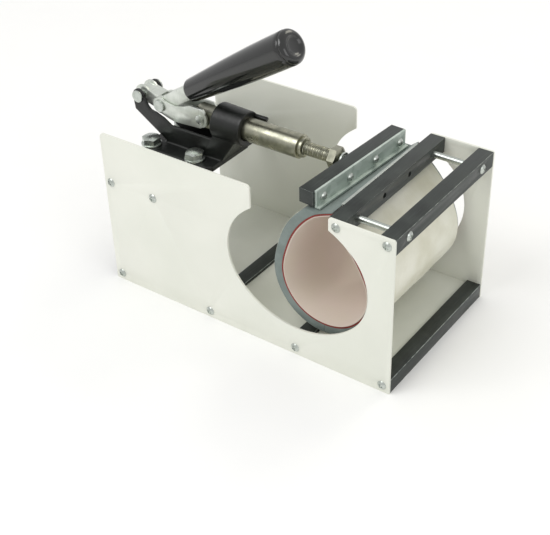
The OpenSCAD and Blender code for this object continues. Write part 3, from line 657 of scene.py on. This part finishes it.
def heater_layer(name, side, inner, outer, end_angle, finish, width=heater_length, ripples=0.35 * MM,
                 taper=False, edge=0.0, middle=0.0):
    """One closed layer of the heater, with its outer face kept below the angle's foot where it tapers."""
    curve = loop_curve(side, end_angle)
    across = max(4, round(width / step_across))
    grid = {}
    bm = bmesh.new()
    for i, (point, out) in enumerate(curve):
        for j in range(across + 1):
            y = middle + width * (j / across - 0.5)
            base = point + Vector((0, y, 0))
            shift = ripples * noise.noise(base / ripple_size)
            for layer, reach in ((0, inner), (1, outer)):
                if taper and layer:
                    room = (foot_z - (point.z + inner * out.z)) / max(out.z, 0.05)
                    reach = inner + max(thinnest_edge, min(outer - inner, room))
                place = base + out * (reach + shift)
                grid[i, j, layer] = bm.verts.new(place + lean(place) if side == "moving" else place)
    n = len(curve) - 1
    for i in range(n):
        for j in range(across):
            bm.faces.new([grid[i, j, 0], grid[i, j + 1, 0], grid[i + 1, j + 1, 0], grid[i + 1, j, 0]])
            bm.faces.new([grid[i, j, 1], grid[i + 1, j, 1], grid[i + 1, j + 1, 1], grid[i, j + 1, 1]])
        for j in (0, across):
            bm.faces.new([grid[i, j, 0], grid[i + 1, j, 0], grid[i + 1, j, 1], grid[i, j, 1]])
    for i in (0, n):
        for j in range(across):
            bm.faces.new([grid[i, j, 0], grid[i, j, 1], grid[i, j + 1, 1], grid[i, j + 1, 0]])
    bmesh.ops.recalc_face_normals(bm, faces=bm.faces)
    mesh = bpy.data.meshes.new(name)
    bm.to_mesh(mesh)
    bm.free()
    mesh.materials.append(finish)
    piece = new_object(name, mesh)
    if edge:
        bevel = piece.modifiers.new("soft_edge", "BEVEL")
        bevel.width = edge
        bevel.segments = 2
        bevel.limit_method = "ANGLE"
        bevel.angle_limit = radians(50)
    return settle(piece, 50)


liner_cloth, tree, shader, coords = new_finish("coated_liner_cloth", Roughness=0.4, IOR=1.45,
                                               Sheen_Weight=0.1)
blush = noise_at(tree, coords, 34 * MM)
colour_with(tree, shader, in_range(tree, blush, 0.35, 0.65), "#DED0C6", "#DCD1C3")
raise_surface(tree, shader, [(noise_at(tree, coords, 1.0 * MM), 0.03 * MM)])

etched_foil, tree, shader, coords = new_finish("etched_resistance_foil", Metallic=1.0, Roughness=0.35)
tarnish = noise_at(tree, coords, 5 * MM, 3.0)
colour_with(tree, shader, tarnish, "#B8984F", "#8F7A48")

red_silicone, tree, shader, coords = new_finish("red_silicone_rubber", Roughness=0.55, IOR=1.41)
cure = noise_at(tree, coords, 6 * MM, 3.0)
colour_with(tree, shader, cure, "#96342A", "#742720")
raise_surface(tree, shader, [(noise_at(tree, coords, 0.8 * MM), 0.04 * MM)])

grey_sponge, tree, shader, coords = new_finish("grey_silicone_sponge", Roughness=0.75, IOR=1.41,
                                               Sheen_Weight=0.15)
tint = noise_at(tree, coords, 12 * MM, 3.0)
cells = add_node(tree, "ShaderNodeTexVoronoi", {"Vector": coords, "Scale": 1 / (0.9 * MM)}, feature="F1")
colour_with(tree, shader, in_range(tree, tint, 0.35, 0.65), "#7C8783", "#707B77")
raise_surface(tree, shader, [(cells.outputs["Distance"], 0.1 * MM)])

cover_cloth, tree, shader, coords = new_finish("cream_coated_glass_cloth", Roughness=0.36, IOR=1.45,
                                               Coat_Weight=0.25, Coat_Roughness=0.2)
age = noise_at(tree, coords, 30 * MM, 3.0)
colour_with(tree, shader, in_range(tree, age, 0.35, 0.65), "#E2E1D2", "#D3D1BD")
tree.links.new(in_range(tree, age, 0.3, 0.7, 0.3, 0.46), shader.inputs["Roughness"])
weave = add_node(tree, "ShaderNodeTexWave", {"Vector": coords, "Scale": 1 / (1.2 * MM) / (2 * pi)},
                 wave_type="BANDS", bands_direction="Y")
puckers = noise_at(tree, coords, 14 * MM)
raise_surface(tree, shader, [(puckers, 0.9 * MM), (weave.outputs["Fac"], 0.02 * MM)])

bands = 5
band_width = 16 * MM
band_pitch = heater_length / bands
for side, body in (("fixed", "frame"), ("moving", "ram")):
    moving = side == "moving"
    layers = [
        (f"liner_{side}_half", "liner", f"liner_{side}", 0, liner_out,
         end_angles["liner"], liner_cloth, {}),
        (f"blanket_{side}_half", "silicone_red", f"heating_blanket_{side}", foil_out, blanket_out,
         end_angles["blanket"], red_silicone, {}),
        (f"sponge_{side}_half", "sponge", f"insulation_{side}", blanket_out, sponge_out,
         end_angles["sponge"], grey_sponge, {"taper": moving, "edge": 0.5 * MM}),
        (f"cover_{side}_half", "cover", f"outer_cover_{side}", sponge_out, cover_out,
         end_angles["cover"], cover_cloth, {"ripples": 0.7 * MM, "width": heater_length - 4 * MM}),
    ]
    for i in range(bands):
        place = {"width": band_width, "middle": (i - (bands - 1) / 2) * band_pitch}
        layers.append((f"foil_band_{side}_{i + 1}", "element_foil", f"heating_element_{side}", liner_out,
                       foil_out, end_angles["foil"], etched_foil, place))
    for name, slot, node, inner, outer, ends, finish, more in layers:
        layer = heater_layer(name, side, inner, outer, ends[moving], finish, **more)
        if moving:
            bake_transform(layer)
        else:
            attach(layer, "frame")
        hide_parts(node)

# ---------------------------------------------------------------- parts inside
# The temperature probe lies in the sponge behind the mug, so only its finish is set here.
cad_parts["thermocouple"].data.materials.clear()
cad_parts["thermocouple"].data.materials.append(bright_steel)
